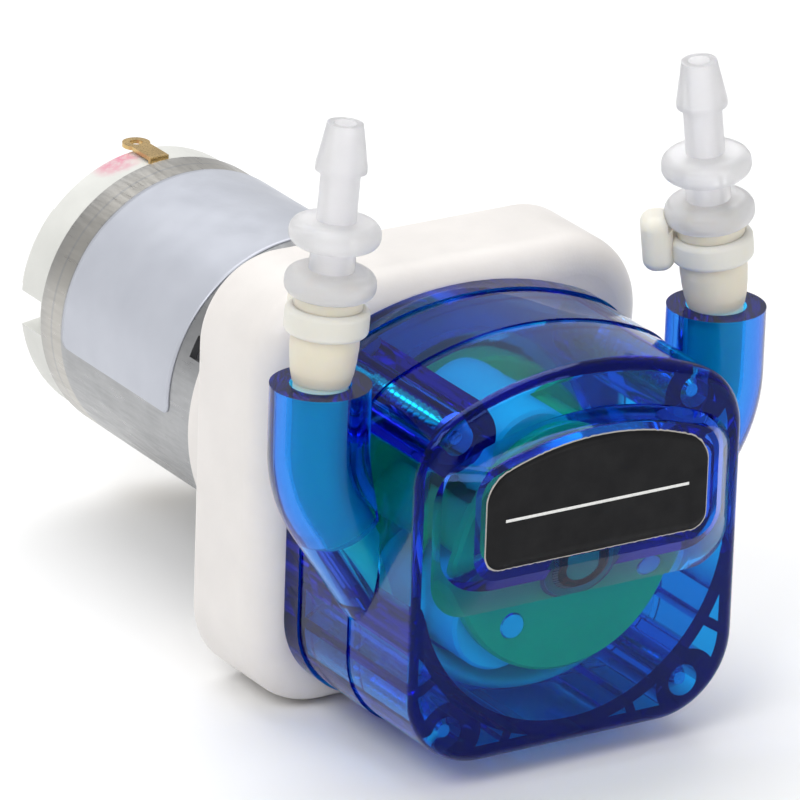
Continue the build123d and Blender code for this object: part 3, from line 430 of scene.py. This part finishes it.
def label_grid(y, grow, ragged):
    """The label's outline filled with points, grown outward and with its long edges made ragged."""
    half = LABEL_HALF_WIDTH + grow
    grid = []
    for x in spread(-half, half, 121):
        side = half - abs(x)
        arch = LABEL_ARCH_CENTRE + sqrt((LABEL_ARCH_RADIUS + grow) ** 2 - x * x)
        low = LABEL_BOTTOM - grow + corner(side, LABEL_LOWER_CORNER)
        high = arch - corner(side, LABEL_UPPER_CORNER)
        low += ragged * noise.noise((x * RAGGED_PITCH, 0.0, 3.0))
        high += ragged * noise.noise((x * RAGGED_PITCH, 5.0, 3.0))
        grid.append([(x, y, low + (high - low) * r / 12) for r in range(13)])
    return grid


def line_grid(y):
    """The printed line's points, three high."""
    return [
        [(x, y, LINE_BOTTOM + LINE_STEP * r) for r in range(3)]
        for x in spread(-LINE_HALF_WIDTH, LINE_HALF_WIDTH, 31)
    ]


def label():
    """The cover's black film with a pale rim round it, painted highlight along its cut edge, and the plain
    line across it.
    """
    # The pale sheet showing round the black film is painted highlight along the label's cut edge.
    edge = label_print_and_highlight("label_edge_highlight", (0.50, 0.48, 0.44)).material
    white = label_print_and_highlight("label_line", (0.86, 0.86, 0.84)).material
    black = MATERIALS["label_black"].material
    highlight_rim = sheet("label_highlight_rim", *(label_grid(y, 0.06, 0.14) for y in LABEL_EDGE), edge, "label_black")
    sheet("label_film", *(label_grid(y, -0.10, 0.05) for y in LABEL_FILM), black, "label_black")
    sheet("label_line", *(line_grid(y) for y in LABEL_LINE), white, "label_black")
    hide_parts("cover_label")


def sticker_grid(radius, ripple):
    """The sticker's points round the can, with its corners rounded and its face rippled."""
    grid = []
    for angle in spread(STICKER_FIRST, STICKER_LAST, 161):
        side = radians(min(angle - STICKER_FIRST, STICKER_LAST - angle)) * radius
        inset = corner(side, STICKER_CORNER)
        column = []
        for r in range(41):
            y = STICKER_FRONT + inset + (STICKER_REAR - STICKER_FRONT - 2 * inset) * r / 40
            wave = noise.noise((angle * 0.06, y * 0.16, 7.0))
            wave += 0.5 * noise.noise((angle * 0.15, y * 0.35, 2.0))
            reach = radius + ripple * (0.5 + 0.5 * wave)
            column.append((reach * cos(radians(angle)), y, reach * sin(radians(angle))))
        grid.append(column)
    return grid


def sticker():
    """The blank sticker round the can."""
    outside = sticker_grid(STICKER_OUTSIDE, STICKER_RIPPLE)
    inside = sticker_grid(STICKER_INSIDE, 0.0)
    piece = sheet("sticker_film", outside, inside, MATERIALS["sticker"].material, "sticker")
    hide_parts("motor_sticker")


label()
sticker()


# ---------------------------------------------------------------- stage, light and camera


def studio():
    """A plain pale floor just under the object."""
    mesh = bpy.data.meshes.new("floor")
    build = bmesh.new()
    bmesh.ops.create_grid(build, x_segments=1, y_segments=1, size=FLOOR_SIZE / 2)
    build.to_mesh(mesh)
    build.free()
    floor = bpy.data.objects.new("floor", mesh)
    bpy.context.scene.collection.objects.link(floor)
    floor.location.z = cad_box[0].z - FLOOR_GAP * MM
    g = Graph("floor_paper")
    g.feed("Base Color", g.ramp(g.noise(60.0, 3.0), (0.3, (0.90, 0.90, 0.90)), (0.7, (0.92, 0.92, 0.92))))
    g.set(Roughness=0.8)
    mesh.materials.append(g.material)


def softbox(name, place, target, size, power):
    """A white area light turned to the target."""
    light = bpy.data.lights.new(name, "AREA")
    light.shape = "RECTANGLE"
    light.size, light.size_y = size
    light.energy = power
    lamp = bpy.data.objects.new(name, light)
    bpy.context.scene.collection.objects.link(lamp)
    lamp.location = place
    lamp.rotation_euler = (Vector(target) - Vector(place)).to_track_quat("-Z", "Y").to_euler()


def lighting():
    """Soft light from above, the left and the front, and enough bounces for the clear head."""
    scene = bpy.context.scene
    world = bpy.data.worlds.new("studio")
    scene.world = world
    world.use_nodes = True
    background = world.node_tree.nodes["Background"]
    background.inputs["Color"].default_value = (1, 1, 1, 1)
    background.inputs["Strength"].default_value = WORLD_LIGHT
    middle = (cad_box[0] + cad_box[1]) / 2
    for name, place, size, power in LIGHTS:
        softbox(name, place, middle, size, power)
    scene.view_settings.view_transform = "Standard"
    scene.cycles.blur_glossy = 0.0
    scene.cycles.max_bounces = BOUNCES
    scene.cycles.transmission_bounces = BOUNCES
    scene.cycles.glossy_bounces = BOUNCES


def camera():
    """The view from the front, left and above, with a long lens."""
    data = bpy.data.cameras.new("camera")
    data.lens = LENS_MM
    data.sensor_width = SENSOR_MM
    data.clip_start = 0.01
    data.clip_end = 20.0
    cam = bpy.data.objects.new("camera", data)
    bpy.context.scene.collection.objects.link(cam)
    axes = Matrix((CAMERA_RIGHT, CAMERA_UP, CAMERA_BACK)).transposed()
    cam.matrix_world = Matrix.Translation(CAMERA_PLACE) @ axes.to_4x4()
    bpy.context.scene.camera = cam


studio()
lighting()
camera()
